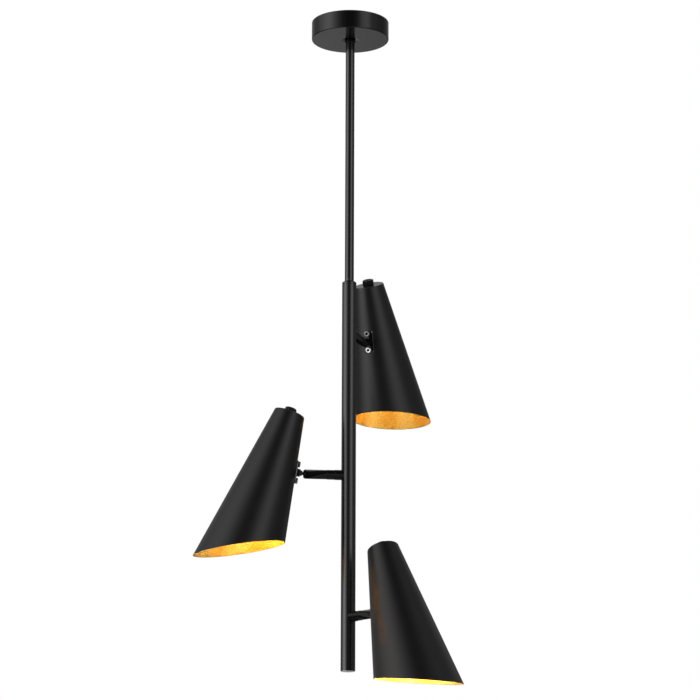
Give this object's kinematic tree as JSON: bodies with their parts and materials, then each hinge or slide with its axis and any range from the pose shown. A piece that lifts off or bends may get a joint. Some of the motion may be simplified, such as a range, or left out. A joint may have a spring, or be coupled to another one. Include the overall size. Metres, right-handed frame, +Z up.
{
  "type": "chandelier",
  "caption": "Hanging ceiling light: a round canopy, a thin rod and a tube carry cone shades, each cut obliquely at its mouth and aimed by a friction ball swivel.",
  "frame": {"origin": "on the ceiling plane at the middle of the canopy, midway between the bracket's two slots", "axes": "+Z up into the ceiling, against the way the lamp hangs; +X along the ceiling bracket's slots; -Y towards the pictured front"},
  "size_m": [0.3617, 0.4032, 0.9534],
  "materials": {
    "satin_black": "satin black powder coat",
    "gloss_black": "glossy black lacquer",
    "matte_black_shade": "fine matte black outside, metallic gold lacquer inside",
    "zinc_plate": "bright zinc plating",
    "steel_screw": "dark polished steel",
    "brass": "plain turned brass",
    "white_plastic": "moulded",
    "black_plastic": "moulded, semi-matt",
    "nylon": "natural nylon",
    "lamp_cap": "rolled thread",
    "lamp_glass": "soft white coated inside",
    "lead_sheath": "smooth flexible sheath"
  },
  "bodies": {
    "root": {"canopy_cover": "satin_black", "ceiling_bracket": "zinc_plate", "canopy_nipple": "zinc_plate", "nipple_nuts": "zinc_plate", "canopy_collar": "satin_black", "terminal_block": "white_plastic", "terminal_inserts": "brass", "terminal_screws": "zinc_plate", "earth_screw": "brass", "down_rod": "satin_black", "reducer_cap": "satin_black", "lower_tube": "satin_black", "end_cap": "zinc_plate", "arm_collars": "gloss_black", "arm_rings": "gloss_black", "arm_studs": "zinc_plate", "arm_saddle_nuts": "zinc_plate", "arm_sleeves": "gloss_black", "stem_leads": "lead_sheath"},
    "upper_seat": {"ball_seat_upper": "nylon"},
    "upper_lamp": {"swivel_upper": "gloss_black", "swivel_nut_upper": "zinc_plate", "shade_bracket_upper": "gloss_black", "bracket_screws_upper": "steel_screw", "bracket_nuts_upper": "zinc_plate", "shade_upper": "matte_black_shade", "shade_nut_upper": "gloss_black", "holder_nipple_upper": "zinc_plate", "lampholder_upper": "black_plastic", "bulb_base_upper": "lamp_cap", "bulb_glass_upper": "lamp_glass", "lamp_lead_upper": "lead_sheath"},
    "middle_seat": {"ball_seat_middle": "nylon"},
    "middle_lamp": {"swivel_middle": "gloss_black", "swivel_nut_middle": "zinc_plate", "shade_bracket_middle": "gloss_black", "bracket_screws_middle": "steel_screw", "bracket_nuts_middle": "zinc_plate", "shade_middle": "matte_black_shade", "shade_nut_middle": "gloss_black", "holder_nipple_middle": "zinc_plate", "lampholder_middle": "black_plastic", "bulb_base_middle": "lamp_cap", "bulb_glass_middle": "lamp_glass", "lamp_lead_middle": "lead_sheath"},
    "lower_seat": {"ball_seat_lower": "nylon"},
    "lower_lamp": {"swivel_lower": "gloss_black", "swivel_nut_lower": "zinc_plate", "shade_bracket_lower": "gloss_black", "bracket_screws_lower": "steel_screw", "bracket_nuts_lower": "zinc_plate", "shade_lower": "matte_black_shade", "shade_nut_lower": "gloss_black", "holder_nipple_lower": "zinc_plate", "lampholder_lower": "black_plastic", "bulb_base_lower": "lamp_cap", "bulb_glass_lower": "lamp_glass", "lamp_lead_lower": "lead_sheath"}
  },
  "joints": [
    {"name": "upper_twist", "type": "hinge", "parent": "root", "child": "upper_seat", "pos_m": [0.02207, 0.05407, -0.4556], "axis": [0.3778, 0.9259, 0], "range_deg": [-170, 170]},
    {"name": "upper_tilt", "type": "hinge", "parent": "upper_seat", "child": "upper_lamp", "pos_m": [0.02207, 0.05407, -0.4556], "axis": [-0.9259, 0.3778, 0.0052], "range_deg": [-9.3, 40.7]},
    {"name": "middle_twist", "type": "hinge", "parent": "root", "child": "middle_seat", "pos_m": [-0.05782, -0.00823, -0.655], "axis": [-0.99, -0.1409, 0], "range_deg": [-170, 170]},
    {"name": "middle_tilt", "type": "hinge", "parent": "middle_seat", "child": "middle_lamp", "pos_m": [-0.05782, -0.00823, -0.655], "axis": [0.1409, -0.99, 0.0087], "range_deg": [-16.7, 33.3]},
    {"name": "lower_twist", "type": "hinge", "parent": "root", "child": "lower_seat", "pos_m": [0.03466, -0.04701, -0.8506], "axis": [0.5934, -0.8049, 0], "range_deg": [-170, 170]},
    {"name": "lower_tilt", "type": "hinge", "parent": "lower_seat", "child": "lower_lamp", "pos_m": [0.03466, -0.04701, -0.8506], "axis": [0.8047, 0.5932, -0.0244], "range_deg": [-12, 38]}
  ]
}
